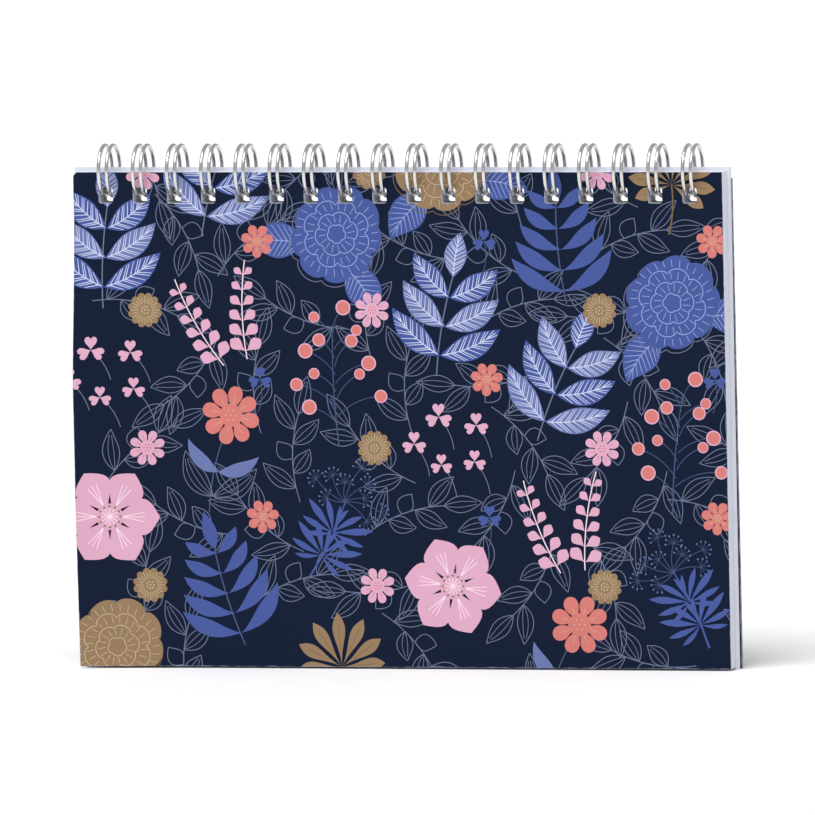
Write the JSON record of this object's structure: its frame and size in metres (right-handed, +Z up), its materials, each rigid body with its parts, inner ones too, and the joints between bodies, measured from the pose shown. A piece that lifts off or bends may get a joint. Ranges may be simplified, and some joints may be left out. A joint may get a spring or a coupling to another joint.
{
  "type": "flip desk calendar",
  "caption": "Landscape flip desk calendar: a printed card cover and paper sheets on a twin-loop wire, backed by a board with a swinging easel leg.",
  "frame": {"origin": "on the surface the calendar stands on, under the middle of the binding rings", "axes": "+X along the binding, -Y towards the reader, +Z up"},
  "size_m": [0.1616, 0.013, 0.1256],
  "materials": {
    "cover_print": "matt printed card",
    "sheet_paper": "uncoated paper",
    "board_core": "greyboard",
    "board_wrap": "matt wrapping paper",
    "leg_print": "matt printed wrapping paper",
    "board_liner": "matt liner paper",
    "wire_steel": "bright drawn wire"
  },
  "bodies": {
    "easel": {"front_board_core": "board_core", "front_board_wrap": "board_wrap", "front_board_liner": "board_liner", "binding_wire": "wire_steel"},
    "cover": {"front_cover": "cover_print"},
    "january_leaf": {"january_sheet": "sheet_paper"},
    "february_leaf": {"february_sheet": "sheet_paper"},
    "march_leaf": {"march_sheet": "sheet_paper"},
    "april_leaf": {"april_sheet": "sheet_paper"},
    "may_leaf": {"may_sheet": "sheet_paper"},
    "june_leaf": {"june_sheet": "sheet_paper"},
    "july_leaf": {"july_sheet": "sheet_paper"},
    "august_leaf": {"august_sheet": "sheet_paper"},
    "september_leaf": {"september_sheet": "sheet_paper"},
    "october_leaf": {"october_sheet": "sheet_paper"},
    "november_leaf": {"november_sheet": "sheet_paper"},
    "december_leaf": {"december_sheet": "sheet_paper"},
    "year_plan_leaf": {"year_plan_sheet": "sheet_paper"},
    "leg": {"rear_leg_core": "board_core", "rear_leg_wrap": "leg_print", "rear_leg_liner": "board_liner"}
  },
  "joints": [
    {"name": "cover_flip", "type": "hinge", "parent": "easel", "child": "cover", "pos_m": [0, 0, 0.11912], "axis": [-1, 0, 0], "range_deg": [0, 180]},
    {"name": "january_flip", "type": "hinge", "parent": "easel", "child": "january_leaf", "pos_m": [0, 0, 0.11912], "axis": [-1, 0, 0], "range_deg": [0, 168.01]},
    {"name": "february_flip", "type": "hinge", "parent": "easel", "child": "february_leaf", "pos_m": [0, 0, 0.11912], "axis": [-1, 0, 0], "range_deg": [0, 156.01]},
    {"name": "march_flip", "type": "hinge", "parent": "easel", "child": "march_leaf", "pos_m": [0, 0, 0.11912], "axis": [-1, 0, 0], "range_deg": [0, 144.01]},
    {"name": "april_flip", "type": "hinge", "parent": "easel", "child": "april_leaf", "pos_m": [0, 0, 0.11912], "axis": [-1, 0, 0], "range_deg": [0, 132.01]},
    {"name": "may_flip", "type": "hinge", "parent": "easel", "child": "may_leaf", "pos_m": [0, 0, 0.11912], "axis": [-1, 0, 0], "range_deg": [0, 120.01]},
    {"name": "june_flip", "type": "hinge", "parent": "easel", "child": "june_leaf", "pos_m": [0, 0, 0.11912], "axis": [-1, 0, 0], "range_deg": [0, 108.01]},
    {"name": "july_flip", "type": "hinge", "parent": "easel", "child": "july_leaf", "pos_m": [0, 0, 0.11912], "axis": [-1, 0, 0], "range_deg": [0, 96.01]},
    {"name": "august_flip", "type": "hinge", "parent": "easel", "child": "august_leaf", "pos_m": [0, 0, 0.11912], "axis": [-1, 0, 0], "range_deg": [0, 84.01]},
    {"name": "september_flip", "type": "hinge", "parent": "easel", "child": "september_leaf", "pos_m": [0, 0, 0.11912], "axis": [-1, 0, 0], "range_deg": [0, 72.01]},
    {"name": "october_flip", "type": "hinge", "parent": "easel", "child": "october_leaf", "pos_m": [0, 0, 0.11912], "axis": [-1, 0, 0], "range_deg": [0, 60.01]},
    {"name": "november_flip", "type": "hinge", "parent": "easel", "child": "november_leaf", "pos_m": [0, 0, 0.11912], "axis": [-1, 0, 0], "range_deg": [0, 48.01]},
    {"name": "december_flip", "type": "hinge", "parent": "easel", "child": "december_leaf", "pos_m": [0, 0, 0.11912], "axis": [-1, 0, 0], "range_deg": [0, 36.01]},
    {"name": "year_plan_flip", "type": "hinge", "parent": "easel", "child": "year_plan_leaf", "pos_m": [0, 0, 0.11912], "axis": [-1, 0, 0], "range_deg": [0, 24.01]},
    {"name": "leg_open", "type": "hinge", "parent": "easel", "child": "leg", "pos_m": [0, 0, 0.11912], "axis": [1, 0, 0], "range_deg": [-0.5, 34]}
  ],
  "couplings": [
    {"joint": "january_flip", "follows": "cover_flip", "ratio": 0.93333},
    {"joint": "february_flip", "follows": "cover_flip", "ratio": 0.86667},
    {"joint": "march_flip", "follows": "cover_flip", "ratio": 0.8},
    {"joint": "april_flip", "follows": "cover_flip", "ratio": 0.73333},
    {"joint": "may_flip", "follows": "cover_flip", "ratio": 0.66667},
    {"joint": "june_flip", "follows": "cover_flip", "ratio": 0.6},
    {"joint": "july_flip", "follows": "cover_flip", "ratio": 0.53333},
    {"joint": "august_flip", "follows": "cover_flip", "ratio": 0.46667},
    {"joint": "september_flip", "follows": "cover_flip", "ratio": 0.4},
    {"joint": "october_flip", "follows": "cover_flip", "ratio": 0.33333},
    {"joint": "november_flip", "follows": "cover_flip", "ratio": 0.26667},
    {"joint": "december_flip", "follows": "cover_flip", "ratio": 0.2},
    {"joint": "year_plan_flip", "follows": "cover_flip", "ratio": 0.13333}
  ]
}
